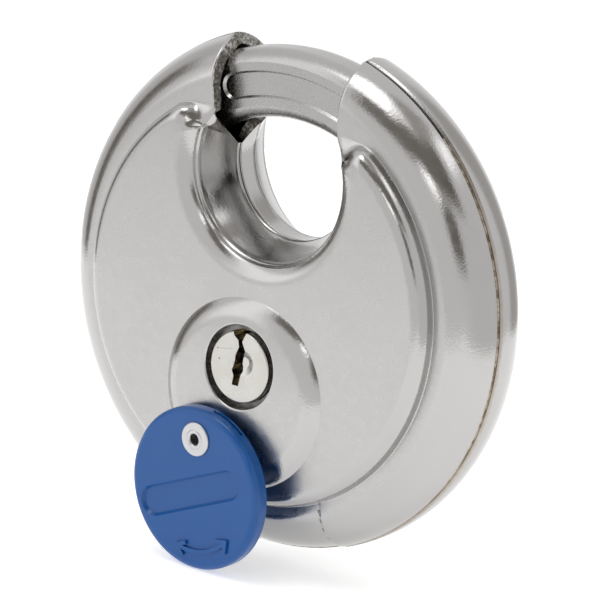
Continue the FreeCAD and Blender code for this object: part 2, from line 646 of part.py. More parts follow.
def shackle_panel():
    """The sunk panel on the flat: round-ended, with sloping sides."""
    floor_y = SHACKLE_FLAT_Y + PANEL_DEPTH
    wide = PANEL_HALF_WIDTH + PANEL_SLOPE
    ring = SHACKLE_RING
    section = outline_face((ring - wide, SHACKLE_FLAT_Y), [
        (ring + wide, SHACKLE_FLAT_Y), (ring + PANEL_HALF_WIDTH, floor_y),
        (ring - PANEL_HALF_WIDTH, floor_y)])
    panel = revolve(section, angle=2 * PANEL_HALF_ANGLE, start=-PANEL_HALF_ANGLE)
    for angle in (-PANEL_HALF_ANGLE, PANEL_HALF_ANGLE):
        x, z = round_disc_point(ring, angle)
        end = Part.makeCone(wide, PANEL_HALF_WIDTH, PANEL_DEPTH, Vector(x, SHACKLE_FLAT_Y, z), Y_AXIS)
        panel = panel.fuse(end)
    return panel


def shackle():
    """The bar that closes the throat."""
    bar = revolve(shackle_section(), angle=SHACKLE_TAIL - SHACKLE_TOE, start=SHACKLE_TOE)
    bar = bar.cut(shackle_panel())
    inner, outer = SHACKLE_RING - 2 * SHACKLE_RADIUS, SHACKLE_RING + 2 * SHACKLE_RADIUS
    seat_angles = (CARRIER_FOOT_ANGLES[0] - SEAT_MARGIN, SHACKLE_TAIL + SEAT_MARGIN)
    seat = sector((inner, outer), (CARRIER_FOOT_Y[0], FACE_Y), seat_angles)
    return bar.cut(seat).cut(rivets()).removeSplitter()


# --- keyway cover -------------------------------------------------------------------
# These pieces are modelled with the pivot at the origin and the cover's face on Y = 0,
# then placed with the rivet's slight lean.
def eyelet_frame(shape):
    turn = Rotation(Z_AXIS, COVER_LEAN[0]).multiply(Rotation(Vector(1, 0, 0), -COVER_LEAN[1]))
    placed = shape.copy()
    placed.Placement = Placement(COVER_PIVOT, turn).multiply(placed.Placement)
    return placed


def turned(shape, degrees):
    """Turn a cover piece counter-clockwise, as seen from the keyhole side."""
    moved = shape.copy()
    moved.rotate(Vector(0, 0, 0), Y_AXIS, -degrees)
    return moved


def cover_disc():
    r = COVER_RADIUS
    t = COVER_THICKNESS
    e = COVER_EDGE_RADIUS
    c = COVER_REAR_CHAMFER
    centre = (r - e, e)
    steps = [(0.0, 0.0), (r - e, 0.0), (on_circle(centre, e, -45), (r, e)), (r, t - c), (r - c, t)]
    return revolve(outline_face((0.0, t), steps), at_z=-COVER_OFFSET)


def cover_panel():
    length, width, depth = COVER_PANEL
    half = (length - width) / 2
    floor = width / 2 - COVER_PANEL_SLOPE
    corners = [Vector(-half, 0, width / 2), Vector(-half, 0, -width / 2),
               Vector(-half, depth, -floor), Vector(-half, depth, floor)]
    panel = Part.Face(Part.makePolygon(corners + corners[:1])).extrude(Vector(2 * half, 0, 0))
    for x in (-half, half):
        panel = panel.fuse(Part.makeCone(width / 2, floor, depth, Vector(x, 0, 0), Y_AXIS))
    panel = turned(panel, COVER_TILT)
    panel.translate(Vector(COVER_PANEL_AT[0], 0, COVER_PANEL_AT[1]))
    return panel


def cover_arrow():
    """A raised double-headed arrow near the cover's edge: it shows the way to swing."""
    half = ARROW_WIDTH / 2
    length, spread = ARROW_BARB
    ys = (-ARROW_HEIGHT, 0.2)
    arc = sector((ARROW_RING - half, ARROW_RING + half), ys, (-ARROW_HALF_ANGLE, ARROW_HALF_ANGLE))
    shape = arc
    for side in (-1, 1):
        for barb in (-1, 1):
            bar = Part.makeBox(length, ys[1] - ys[0], ARROW_WIDTH, Vector(half - length, ys[0], -half))
            bar.rotate(Vector(0, 0, 0), Y_AXIS, barb * spread)
            if side < 0:
                bar.rotate(Vector(0, 0, 0), Y_AXIS, 180)
            bar.translate(Vector(0, 0, ARROW_RING))
            bar.rotate(Vector(0, 0, 0), Y_AXIS, side * ARROW_HALF_ANGLE)
            shape = shape.fuse(bar)
    shape = turned(shape, 180 + ARROW_TILT)
    shape.translate(Vector(0, 0, -COVER_OFFSET))
    return shape


def keyway_cover():
    shape = cover_disc()
    pocket = rod(COVER_RADIUS - COVER_SKIRT, COVER_SKIN, COVER_THICKNESS + 1, z=-COVER_OFFSET)
    pocket = pocket.cut(rod(SPACER_RADIUS, 0.0, COVER_THICKNESS + 2))
    shape = shape.cut(pocket).cut(cover_panel()).fuse(cover_arrow())
    deep, front, back = NAIL_SLOT
    nail = sector((COVER_RADIUS - deep, COVER_RADIUS + 1), (front, back), NAIL_SLOT_ANGLES)
    nail.translate(Vector(0, 0, -COVER_OFFSET))
    bore = rod(EYELET_TUBE_RADIUS + COVER_RUNNING_GAP, -FAR, FAR)
    return shape.cut(nail).cut(bore).removeSplitter()


def cover_spacer(front_shell):
    washer = eyelet_frame(rod(SPACER_RADIUS, COVER_THICKNESS + COVER_RUNNING_GAP, SPACER_REACH))
    washer = washer.cut(eyelet_frame(rod(EYELET_TUBE_RADIUS, -FAR, FAR)))
    behind = Part.makeBox(2 * FAR, FAR, 2 * FAR, Vector(-FAR, -FACE_Y, -FAR))
    return washer.cut(front_shell).cut(behind)


def cover_eyelet():
    """The hollow rivet that the cover swings on."""
    flange = EYELET_FLANGE_RADIUS
    hole = EYELET_HOLE_RADIUS
    tube = EYELET_TUBE_RADIUS
    flare, thickness = EYELET_TAIL
    steps = [
        (hole, -0.25), ((hole + 0.3, -0.5), (hole + 0.62, -0.36)), (flange - 0.25, -0.32),
        ((flange - 0.06, -0.26), (flange, -0.05)), (tube, -0.05), (tube, EYELET_TAIL_Y),
        (tube + flare, EYELET_TAIL_Y), (tube + flare, EYELET_TAIL_Y + thickness),
    ]
    return eyelet_frame(revolve(outline_face((hole, EYELET_TAIL_Y + thickness), steps)))


# --- build --------------------------------------------------------------------------
front_shell, rear_shell = cups()
save("front_shell", front_shell)
save("rear_shell", rear_shell)
save("weld_bead", weld_bead())
save("shackle", shackle())
save("carrier_plate", carrier_plate())
save("carrier_rivets", rivets())
save("lock_core", lock_core())
save("anti_drill_plate", anti_drill_plate())
save("core_studs", core_studs())
save("core_nuts", core_nuts())
save("plug", plug())
save("drive_cam", drive_cam())
save("crank_pin", crank_pin())
save("chamber_strip", chamber_strip())
for index, y in enumerate(pin_ys()):
    number = str(index + 1)
    save("key_pin_" + number, key_pin(y, KEY_PIN_LENGTHS[index]))
    save("driver_pin_" + number, driver_pin(y))
    save("pin_spring_" + number, pin_spring(y))
save("keyway_cover", eyelet_frame(keyway_cover()))
save("cover_spacer", cover_spacer(front_shell))
save("cover_eyelet", cover_eyelet())
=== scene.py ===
import math

import bpy
import numpy as np
from mathutils import Matrix, Vector


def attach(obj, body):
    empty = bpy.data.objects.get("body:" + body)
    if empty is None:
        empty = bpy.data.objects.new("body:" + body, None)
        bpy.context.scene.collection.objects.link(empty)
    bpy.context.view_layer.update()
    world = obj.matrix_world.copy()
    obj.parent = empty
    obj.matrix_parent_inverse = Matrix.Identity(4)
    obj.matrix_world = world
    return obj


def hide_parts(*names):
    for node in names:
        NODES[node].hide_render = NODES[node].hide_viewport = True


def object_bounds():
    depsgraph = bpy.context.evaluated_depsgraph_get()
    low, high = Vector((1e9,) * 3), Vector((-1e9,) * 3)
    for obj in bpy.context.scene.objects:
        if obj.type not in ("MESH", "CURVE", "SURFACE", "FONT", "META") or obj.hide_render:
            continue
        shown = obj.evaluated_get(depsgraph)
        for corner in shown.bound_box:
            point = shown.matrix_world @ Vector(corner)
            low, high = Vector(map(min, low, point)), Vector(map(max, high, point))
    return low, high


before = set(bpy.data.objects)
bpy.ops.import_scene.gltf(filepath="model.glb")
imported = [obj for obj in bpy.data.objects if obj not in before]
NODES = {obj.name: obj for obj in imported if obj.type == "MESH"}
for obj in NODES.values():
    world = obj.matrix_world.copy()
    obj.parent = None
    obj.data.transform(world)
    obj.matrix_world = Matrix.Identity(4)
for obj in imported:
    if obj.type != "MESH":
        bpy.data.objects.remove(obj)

bpy.context.view_layer.update()
CAD_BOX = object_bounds()

# Metres. The origin is the middle of the rear face; +Z is up and -Y is the keyhole side.
MM = 0.001
RIM_Y = -9.6 * MM                     # the middle of the rim's thickness
DISC_MIDDLE = Vector((0.0, RIM_Y, 0.0))
SEAM_Y_MM = -11.0                     # the joint of the two cups
WELD_START = 41.5                     # degrees from the top where the weld begins

# --- camera and studio ----------------------------------------------------------------
CAMERA_YAW = math.radians(36.99)      # round to the right of the keyhole side
CAMERA_PITCH = math.radians(15.28)
CAMERA_ROLL = math.radians(4.82)
CAMERA_DISTANCE = 1.3613
CAMERA_LENS = 616.0
CAMERA_SLIDE = (0.451 * MM, -1.538 * MM)   # along its own right and up

WALLS = 0.93                          # the studio's plain pale walls
DARKEST = 0.12                        # the least light from any direction
BACKDROP = 1.02                       # the walls as the camera itself sees them
CARD_TINT = (1.0, 0.93, 0.86, 1)      # the dark cards are brownish
WHITE = (1.0, 1.0, 1.0, 1)
FLOOR_HALF = 0.16
FLOOR_GLOW = 0.5
# Soft boxes and dark cards on the walls: azimuth from the keyhole side (+ to the right),
# elevation, half width and half height in degrees, softness, and what each adds.
PANELS = (
    (-20, 71, 30, 10, 7, 2.3),        # big soft box overhead
    (14, 79, 18, 9, 8, 0.8),          # its spill to the right
    (-44, 30, 13, 24, 12, 0.55),      # tall soft box on the left
    (110, 57, 16, 5, 6, 1.0),         # small box over the right shoulder
    (27, 34, 6, 3, 4, 1.9),           # slit of light between the dark cards
    (30, 49, 46, 12, 6, -0.68),       # wide dark card, high on the right
    (42, 21, 9, 9, 6, -0.72),         # narrow dark card under it
    (88, 80, 40, 16, 7, -0.42),       # unlit ceiling on the right
    (-84, -1, 8, 20, 6, -0.6),        # dark card on the far left
    (-100, 8, 12, 24, 10, -0.2),      # and the wall behind it
    (88, 5, 30, 40, 18, -0.07),       # dim side wall
    (172, 12, 16, 32, 8, -0.36),      # unlit wall behind
)


def camera_axes():
    """Right, up and back of the camera, roll included."""
    back = Vector((math.sin(CAMERA_YAW) * math.cos(CAMERA_PITCH),
                   -math.cos(CAMERA_YAW) * math.cos(CAMERA_PITCH),
                   math.sin(CAMERA_PITCH)))
    level = Vector((math.cos(CAMERA_YAW), math.sin(CAMERA_YAW), 0.0))
    upright = back.cross(level)
    right = math.cos(CAMERA_ROLL) * level + math.sin(CAMERA_ROLL) * upright
    up = -math.sin(CAMERA_ROLL) * level + math.cos(CAMERA_ROLL) * upright
    return right, up, back


def add_camera():
    right, up, back = camera_axes()
    data = bpy.data.cameras.new("camera")
    data.lens = CAMERA_LENS
    data.sensor_width = 36.0
    camera = bpy.data.objects.new("camera", data)
    bpy.context.scene.collection.objects.link(camera)
    turn = Matrix((right, up, back)).transposed().to_4x4()
    place = DISC_MIDDLE + back * CAMERA_DISTANCE + right * CAMERA_SLIDE[0] + up * CAMERA_SLIDE[1]
    camera.matrix_world = Matrix.Translation(place) @ turn
    bpy.context.scene.camera = camera


# --- node helpers ---------------------------------------------------------------------
class Graph:
    """A node tree with short calls. All but node, put and split give one output socket."""

    def __init__(self, tree):
        self.tree = tree

    def node(self, kind, inputs=(), **settings):
        made = self.tree.nodes.new(kind)
        for key, value in settings.items():
            setattr(made, key, value)
        for socket, value in dict(inputs).items():
            self.put(made.inputs[socket], value)
        return made

    def put(self, socket, value):
        if isinstance(value, bpy.types.NodeSocket):
            self.tree.links.new(value, socket)
        else:
            socket.default_value = value

    def math(self, operation, a, b=0.0, c=0.0):
        return self.node("ShaderNodeMath", {0: a, 1: b, 2: c}, operation=operation).outputs[0]

    def vector(self, operation, a, b=(0.0, 0.0, 0.0)):
        return self.node("ShaderNodeVectorMath", {0: a, 1: b}, operation=operation).outputs[0]

    def smooth(self, value, low, high, to_low=0.0, to_high=1.0):
        """value carried smoothly from low..high to to_low..to_high."""
        ramp = self.node("ShaderNodeMapRange", {"Value": value, "From Min": low, "From Max": high,
                                                "To Min": to_low, "To Max": to_high},
                         interpolation_type="SMOOTHSTEP")
        return ramp.outputs["Result"]

    def mix(self, factor, a, b):
        """Between two colours."""
        made = self.node("ShaderNodeMix", {"Factor": factor}, data_type="RGBA")
        self.put(made.inputs["A"], a)
        self.put(made.inputs["B"], b)
        return made.outputs["Result"]

    def split(self, vector):
        return self.node("ShaderNodeSeparateXYZ", {0: vector}).outputs

    def noise(self, where, size, detail=3.0, stretch=(1.0, 1.0, 1.0), roughness=0.5):
        """Noise whose lumps are about size millimetres across."""
        scaled = self.vector("MULTIPLY", where, tuple(s / size for s in stretch))
        made = self.node("ShaderNodeTexNoise", {"Vector": scaled, "Scale": 1.0, "Detail": detail,
                                                "Roughness": roughness})
        return made.outputs["Fac"]


def add_studio():
    world = bpy.data.worlds.new("studio")
    bpy.context.scene.world = world
    world.use_nodes = True
    g = Graph(world.node_tree)
    direction = g.node("ShaderNodeTexCoord").outputs["Generated"]
    x, y, z = g.split(direction)
    degrees = 180.0 / math.pi
    azimuth = g.math("MULTIPLY", g.math("ARCTAN2", x, g.math("MULTIPLY", y, -1.0)), degrees)
    elevation = g.math("MULTIPLY", g.math("ARCSINE", z), degrees)
    light = WALLS
    for az, el, half_width, half_height, soft, adds in PANELS:
        off = g.math("ABSOLUTE", g.math("WRAP", g.math("SUBTRACT", azimuth, az), 180.0, -180.0))
        rise = g.math("ABSOLUTE", g.math("SUBTRACT", elevation, el))
        across = g.smooth(off, half_width - soft / 2, half_width + soft, 1.0, 0.0)
        upward = g.smooth(rise, half_height - soft / 2, half_height + soft, 1.0, 0.0)
        patch = g.math("MULTIPLY", across, upward)
        light = g.math("MULTIPLY_ADD", patch, adds, light)
    light = g.math("MAXIMUM", light, DARKEST)
    seen = g.node("ShaderNodeLightPath").outputs["Is Camera Ray"]
    background = world.node_tree.nodes["Background"]
    g.put(background.inputs["Strength"], g.math("MAXIMUM", light, g.math("MULTIPLY", seen, BACKDROP)))
    pale = g.math("MAXIMUM", g.smooth(light, 0.3, 0.8), seen)
    g.put(background.inputs["Color"], g.mix(pale, CARD_TINT, WHITE))


def new_material(name):
    """(material, graph, shader, position in mm)."""
    material = bpy.data.materials.new(name)
    material.use_nodes = True
    g = Graph(material.node_tree)
    shader = material.node_tree.nodes["Principled BSDF"]
    where = g.vector("MULTIPLY", g.node("ShaderNodeTexCoord").outputs["Object"], (1000.0,) * 3)
    return material, g, shader, where


def bump(g, shader, *layers):
    """Layers are (height, strength, distance in mm), laid one over the other."""
    normal = None
    for height, strength, distance in layers:
        made = g.node("ShaderNodeBump", {"Height": height, "Strength": strength,
                                         "Distance": distance * MM})
        if normal is not None:
            g.put(made.inputs["Normal"], normal)
        normal = made.outputs["Normal"]
    g.put(shader.inputs["Normal"], normal)


def add_floor():
    mesh = bpy.data.meshes.new("floor")
    corners = [(-1, -1), (1, -1), (1, 1), (-1, 1)]
    mesh.from_pydata([(x * FLOOR_HALF, y * FLOOR_HALF, CAD_BOX[0].z) for x, y in corners],
                     [], [(0, 1, 2, 3)])
    floor = bpy.data.objects.new("floor", mesh)
    bpy.context.scene.collection.objects.link(floor)
    material, g, shader, where = new_material("pale_floor")
    grain = g.noise(where, 40.0)
    g.put(shader.inputs["Base Color"], g.mix(grain, (0.86, 0.86, 0.86, 1), (0.9, 0.9, 0.9, 1)))
    shader.inputs["Roughness"].default_value = 0.9
    shader.inputs["Specular IOR Level"].default_value = 0.0
    shader.inputs["Emission Color"].default_value = WHITE
    shader.inputs["Emission Strength"].default_value = FLOOR_GLOW
    mesh.materials.append(material)


# --- metals ---------------------------------------------------------------------------
def polished_stainless():
    """The pressed cups' outside: soft waves, fine haze, heat tint."""
    material, g, shader, where = new_material("polished_stainless")
    x, y, z = g.split(where)
    shader.inputs["Metallic"].default_value = 1.0

    cloud = g.noise(where, 9.0, 2.0)
    haze = g.noise(where, 1.3, 4.0)
    scratch = g.noise(where, 1.0, 2.0, stretch=(0.35, 2.0, 7.0))
    darker, lighter = (0.455, 0.447, 0.439, 1), (0.49, 0.483, 0.476, 1)
    straw = (0.36, 0.29, 0.21, 1)
    colour = g.mix(cloud, darker, lighter)

    # heat tint beside the weld
    angle = g.math("ABSOLUTE", g.math("MULTIPLY", g.math("ARCTAN2", x, z), 180.0 / math.pi))
    along = g.smooth(angle, WELD_START - 2, WELD_START + 6)
    from_seam = g.math("ABSOLUTE", g.math("SUBTRACT", y, SEAM_Y_MM))
    ragged = g.math("MULTIPLY_ADD", g.noise(where, 0.8, 4.0), 0.5, from_seam)
    heat = g.math("MULTIPLY", g.smooth(ragged, 0.5, 0.95, 1.0, 0.0), along)
    radius = g.math("SQRT", g.math("ADD", g.math("MULTIPLY", x, x), g.math("MULTIPLY", z, z)))
    heat = g.math("MULTIPLY", heat, g.smooth(radius, 33.0, 34.0))
    colour = g.mix(g.math("MULTIPLY", heat, 0.6), colour, straw)
    g.put(shader.inputs["Base Color"], colour)

    toward_y = g.split(g.node("ShaderNodeNewGeometry").outputs["Normal"])[1]
    flat = g.smooth(g.math("ABSOLUTE", toward_y), 0.955, 0.995)
    rough = g.smooth(haze, 0.3, 0.75, 0.09, 0.16)
    rough = g.math("MULTIPLY_ADD", flat, 0.15, rough)
    rough = g.math("MULTIPLY_ADD", scratch, 0.05, rough)
    g.put(shader.inputs["Roughness"], g.math("MULTIPLY_ADD", heat, 0.2, rough))

    # fine grain where the sheet was drawn, none on the flat faces
    grain = g.math("MULTIPLY", g.noise(where, 0.3, 3.0), g.math("SUBTRACT", 1.0, flat))
    bump(g, shader, (g.noise(where, 7.0, 2.0), 0.5, 0.07), (grain, 0.9, 0.016))
    return material


def cut_edge():
    """The torn edge of the sheet: bright flecks on dull grey-brown."""
    material, g, shader, where = new_material("cut_edge")
    shader.inputs["Metallic"].default_value = 1.0
    flecks = g.noise(where, 0.45, 4.0, roughness=0.7)
    patches = g.noise(where, 1.4, 2.0)
    dull, bright, brown = (0.16, 0.15, 0.135, 1), (0.6, 0.59, 0.57, 1), (0.19, 0.165, 0.13, 1)
    colour = g.mix(g.smooth(flecks, 0.42, 0.66), dull, bright)
    colour = g.mix(g.smooth(patches, 0.45, 0.7, 0.0, 0.55), colour, brown)
    g.put(shader.inputs["Base Color"], colour)
    g.put(shader.inputs["Roughness"], g.smooth(flecks, 0.3, 0.7, 0.55, 0.3))
    bump(g, shader, (flecks, 0.8, 0.09), (patches, 0.5, 0.12))
    return material


def weld():
    """Bead with ripples across it and straw to brown heat colours."""
    material, g, shader, where = new_material("weld")
    x, y, z = g.split(where)
    shader.inputs["Metallic"].default_value = 1.0
    blotch = g.noise(where, 1.6, 4.0)
    brown, straw = (0.14, 0.105, 0.07, 1), (0.46, 0.41, 0.35, 1)
    colour = g.mix(g.smooth(blotch, 0.35, 0.65), brown, straw)
    g.put(shader.inputs["Base Color"], colour)
    g.put(shader.inputs["Roughness"], g.smooth(blotch, 0.3, 0.7, 0.28, 0.5))
    angle = g.math("ARCTAN2", x, z)
    ripple = g.math("SINE", g.math("MULTIPLY_ADD", g.noise(where, 1.5), 5.0,
                                   g.math("MULTIPLY", angle, 320.0)))
    bump(g, shader, (ripple, 0.5, 0.05), (g.noise(where, 0.3, 4.0), 0.6, 0.05))
    return material


def satin_steel():
    """The shackle: fine blasted grain, a little darker in hollows."""
    material, g, shader, where = new_material("shackle_steel")
    shader.inputs["Metallic"].default_value = 1.0
    cloud = g.noise(where, 5.0, 3.0)
    grain = g.noise(where, 0.28, 4.0, roughness=0.6)
    darker, lighter = (0.40, 0.393, 0.386, 1), (0.46, 0.452, 0.445, 1)
    g.put(shader.inputs["Base Color"], g.mix(cloud, darker, lighter))
    g.put(shader.inputs["Roughness"], g.smooth(grain, 0.3, 0.7, 0.17, 0.3))
    bump(g, shader, (cloud, 0.3, 0.05), (grain, 0.8, 0.02))
    return material


def plain_metal(name, dark, light, rough, size=2.0):
    """Bare metal with turning marks: used for what is inside."""
    material, g, shader, where = new_material(name)
    shader.inputs["Metallic"].default_value = 1.0
    cloud = g.noise(where, size, 4.0)
    g.put(shader.inputs["Base Color"], g.mix(g.smooth(cloud, 0.35, 0.68), dark + (1,), light + (1,)))
    g.put(shader.inputs["Roughness"], g.smooth(cloud, 0.3, 0.7, rough - 0.06, rough + 0.08))
    bump(g, shader, (g.noise(where, 0.25, 3.0, stretch=(1, 4, 1)), 0.4, 0.012))
    return material


# --- plastic --------------------------------------------------------------------------
def blue_plastic():
    material, g, shader, where = new_material("blue_plastic")
    cloud = g.noise(where, 6.0, 3.0)
    deeper, paler = (0.004, 0.072, 0.265, 1), (0.007, 0.08, 0.29, 1)
    g.put(shader.inputs["Base Color"], g.mix(cloud, deeper, paler))
    g.put(shader.inputs["Roughness"], g.smooth(g.noise(where, 1.5, 4.0), 0.3, 0.7, 0.14, 0.24))
    shader.inputs["Specular IOR Level"].default_value = 0.42
    bump(g, shader, (g.noise(where, 5.0, 2.0), 0.3, 0.03))
    return material


# --- pressed cups ---------------------------------------------------------------------
# Millimetres. A cup is worked out as the front one: x, z, and its height outward from the
# middle of the rim's thickness. The rear one is the same shape, mirrored and without the
# boss, but with its lip set wider. Rays from the throat's middle carry the rows of its grid.
SHEET = 1.5
THINNED = 0.83                        # share of the sheet lost where it was drawn thin
TUBE_RING, TUBE_RADIUS = 27.7, 7.29
FACE_HEIGHT, FACE_RADIUS = 9.6, 28.0
FACE_EDGE = 2.0                       # roundness of the face's edge
FLANK = math.radians(80)              # and how steep it gets
BAND_HEIGHT = 6.99                    # the narrow flat band outside the face
THROAT = (0.0, 17.06)                 # its middle, x and z
THROAT_RADIUS = 9.98
LIP_CENTRE, LIP_RADIUS = 15.0, 3.3
CREASE = 12.6
HORN_EDGE = ((10.4, 22.3), (13.9, 24.2))   # the raised face ends on this line...
LEFT_HORN_SHORTER = 0.8               # ...and a little sooner on the left
MOUTH_ROUNDING, MOUTH_DROP = 0.4, 0.6   # radius of the rounding, and share of it used
BOSS = (0.0, -12.8)
BOSS_RADIUS = 12.97
PLUG = (0.0, -9.0)
PLUG_HOLE = 5.65
BAND_BLEND = 0.2                      # softness of the rim where it turns into the band
THROAT_BLEND = 1.1                    # ...and where the band turns into the throat
FOOT_BLEND = 0.35                     # softness of the raised face's foot
HORN_BLEND = 2.2                      # roundness of the raised face's corners
# Near the throat's two ends the raised face runs out in a swelling: where, and how much it
# softens the roundness of the edge, its steepness, its foot and its corner with the throat.
SWELLING_FROM_THROAT = (16.5, 12.5)
SWELLING_Z = (19.5, 21.5)
SWELLING_EDGE = 2.6
SWELLING_FLANK = math.radians(42)
SWELLING_FOOT = 1.4
SWELLING_CORNER = 1.5
WALL_SHARPNESS = 0.02                 # softness of the face's corner with the throat
BEAD_HEIGHT, BEAD_WIDTH, BEAD_FROM_CREASE = 0.16, 0.13, 0.42   # at the wall's top
WALL_BELOW_CREASE = 0.45              # the throat's wall ends this far under the lip's edge
WALL_BOW = 0.85                       # under 1, the wall bows outward
GROOVE_FOOT = (34.25, 0.1)            # radius, half width
GROOVE_HALF = 0.45                    # half width at the rim's outside...
GROOVE_CHAMFER = (0.2, 0.16)          # ...bevelled this deep, down to this half width
FLANK_LEAN = 0.4                      # how far the groove's flank is shaded towards the seam
CUP_COLUMNS = 820
LIP_ROWS, FACE_ROWS, EDGE_ROWS, RIM_ROWS = 66, 14, 56, 34
LIP_REACH, LIP_SHARE = 6.0, 0.3       # the lip's rows: this far, or this share of the ray
EDGE_FROM, EDGE_TO = 25.4, 30.2       # radii that the rows over the face's edge run between
LEAST_FACE, LEAST_EDGE = 0.05, 0.25   # least share of a short ray for the face and its edge
CORNER_ROW = 0.05                     # share of a groove's face in its narrow row
SHEET_END = 0.02                      # the inner skin stops this near to the seam
SLANT_FADE = 0.9                      # radians over which the slanted cut comes in
SMOOTHING = 4                         # rows each way that the inner skin is smoothed over
BOSS_OVERLAP = 1.2                    # of the face under the boss
TEARS = ((0.05, 91, 0), (0.04, 213, 1), (0.03, 57, 2))   # height, waves and phase of a torn end
THIN_Z = (22.0, 20.0)                 # the front sheet is thin below this...
THIN_FROM_MOUTH = (3.0, 0.5)          # ...and this near to the left mouth
FRONT_CUP = {
    "seam": 1.4,
    "wider": 0.0,                     # the lip and crease, against the front's
    "slant": 0.0,                     # of the throat wall's cut at the left mouth, radians
    "mouths": (((-9.9, 18.0), (-12.4, 33.0)), ((10.0, 18.0), (9.3, 33.6))),
    # the throat's wall from its edge at the seam: a rolled edge and a small bead
    "throat_edge": ((10.22, 1.73), (10.08, 1.74), (10.0, 1.8), (9.98, 1.9), (9.98, 2.02),
                    (9.9, 2.09), (9.86, 2.17), (9.9, 2.25), (9.98, 2.32), (10.0, 2.39)),
}
REAR_CUP = {
    "seam": -1.34,
    "wider": 1.4,
    "slant": 0.27,
    "mouths": (((-9.33, 20.6), (-13.6, 32.0)), ((10.0, 18.0), (9.3, 33.6))),
    "throat_edge": ((10.22, -1.48), (10.1, -1.47), (10.02, -1.41), (9.98, -1.3), (9.98, -0.8),
                    (9.98, -0.3), (9.98, 0.3), (9.98, 0.9), (9.98, 1.6)),
}


def soft_max(a, b, k):
    h = np.clip(0.5 + 0.5 * (a - b) / k, 0.0, 1.0)
    return b * (1 - h) + a * h + k * h * (1 - h)


def soft_min(a, b, k):
    return -soft_max(-a, -b, k)


def soft_step(value, low, high):
    t = np.clip((value - low) / (high - low), 0.0, 1.0)
    return t * t * (3 - 2 * t)


def beyond_line(x, z, line):
    """Distance to the right of a line from its first to its second point."""
    (x0, z0), (x1, z1) = line
    return ((x - x0) * (z1 - z0) - (z - z0) * (x1 - x0)) / math.hypot(x1 - x0, z1 - z0)


def from_mouth(x, z, mouths):
    """Distance from the nearer mouth's line, and 0 beyond it.

    The lines have no end: low on the rim, points between them count as beyond."""
    left, right = mouths
    return np.minimum(np.maximum(-beyond_line(x, z, left), 0.0) + 99.0 * (x > 0),
                      np.maximum(beyond_line(x, z, right), 0.0) + 99.0 * (x < 0))


def tube_radius(x, z, mouths, rounding=MOUTH_ROUNDING):
    """The rim's own radius: a little less where the sheet's edge is rounded at a mouth,
    and low on the rim, between the mouths' lines."""
    inside = np.clip(rounding - from_mouth(x, z, mouths), 0.0, rounding)
    drop = rounding - np.sqrt(rounding ** 2 - inside ** 2)
    return TUBE_RADIUS - MOUTH_DROP * drop


def throat_height(r, start, wider):
    """The throat's wall and lip at a distance from the throat's middle."""
    lip_centre, crease_radius = LIP_CENTRE + wider, CREASE + wider
    reach = np.clip(lip_centre - r, 0.0, LIP_CENTRE - CREASE)
    lip = FACE_HEIGHT - LIP_RADIUS + np.sqrt(LIP_RADIUS ** 2 - reach ** 2)
    crease = FACE_HEIGHT - LIP_RADIUS + math.sqrt(LIP_RADIUS ** 2 - (LIP_CENTRE - CREASE) ** 2)
    t = np.clip((r - start[0]) / (crease_radius - 0.2 - start[0]), 0.0, None)
    wall = start[1] + (crease - WALL_BELOW_CREASE - start[1]) * t ** WALL_BOW
    bead = BEAD_HEIGHT * np.exp(-((r - crease_radius + BEAD_FROM_CREASE) / BEAD_WIDTH) ** 2)
    step = soft_step(r, crease_radius - 0.16, crease_radius + 0.02)
    return (wall + bead) * (1 - step) + lip * step


def cup_height(x, z, shape, rounding=MOUTH_ROUNDING):
    """The outside of a cup over a point of the disc."""
    r = np.hypot(x, z)
    from_throat = np.hypot(x - THROAT[0], z - THROAT[1])
    own = tube_radius(x, z, shape["mouths"], rounding)
    tube = np.sqrt(np.maximum(own ** 2 - (r - TUBE_RING) ** 2, 0.0))
    base = soft_min(tube, BAND_HEIGHT, BAND_BLEND)
    swelling = soft_step(from_throat, *SWELLING_FROM_THROAT) * soft_step(z, *SWELLING_Z)
    inside_horn = beyond_line(np.abs(x), z, HORN_EDGE) - LEFT_HORN_SHORTER * (x < 0)
    inside = soft_min(FACE_RADIUS - r, inside_horn, HORN_BLEND)
    edge = FACE_EDGE + SWELLING_EDGE * swelling
    steepest = FLANK - SWELLING_FLANK * swelling
    turn = edge * (1 - np.sin(steepest))
    reach = np.clip(edge - inside, 0.0, edge - turn)
    face = FACE_HEIGHT - edge + np.sqrt(edge ** 2 - reach ** 2)
    face = face - np.maximum(turn - inside, 0.0) * np.tan(steepest)
    wall = throat_height(from_throat, shape["throat_edge"][-1], shape["wider"])
    raised = soft_min(wall, face, WALL_SHARPNESS + SWELLING_CORNER * swelling)
    return soft_max(raised, soft_min(wall, base, THROAT_BLEND), FOOT_BLEND + SWELLING_FOOT * swelling)


def slope(height, x, z, step=0.03):
    """How fast a height over x and z rises along each, as a vector with no Y."""
    along_x = (height(x + step, z) - height(x - step, z)) / (2 * step)
    along_z = (height(x, z + step) - height(x, z - step)) / (2 * step)
    return np.stack([along_x, np.zeros_like(x), along_z], axis=-1)


def height_normals(height, x, z, step=0.03):
    return unit((0.0, -1.0, 0.0) - slope(height, x, z, step))


def unit(vectors):
    return vectors / np.maximum(np.linalg.norm(vectors, axis=-1, keepdims=True), 1e-9)


def to_circle(start, direction, radius):
    """Distance from start along direction to a circle about the disc's middle."""
    along = start[0] * direction[0] + start[1] * direction[1]
    beside = start[0] ** 2 + start[1] ** 2 - along ** 2
    return -along + np.sqrt(np.maximum(radius ** 2 - beside, 0.0))


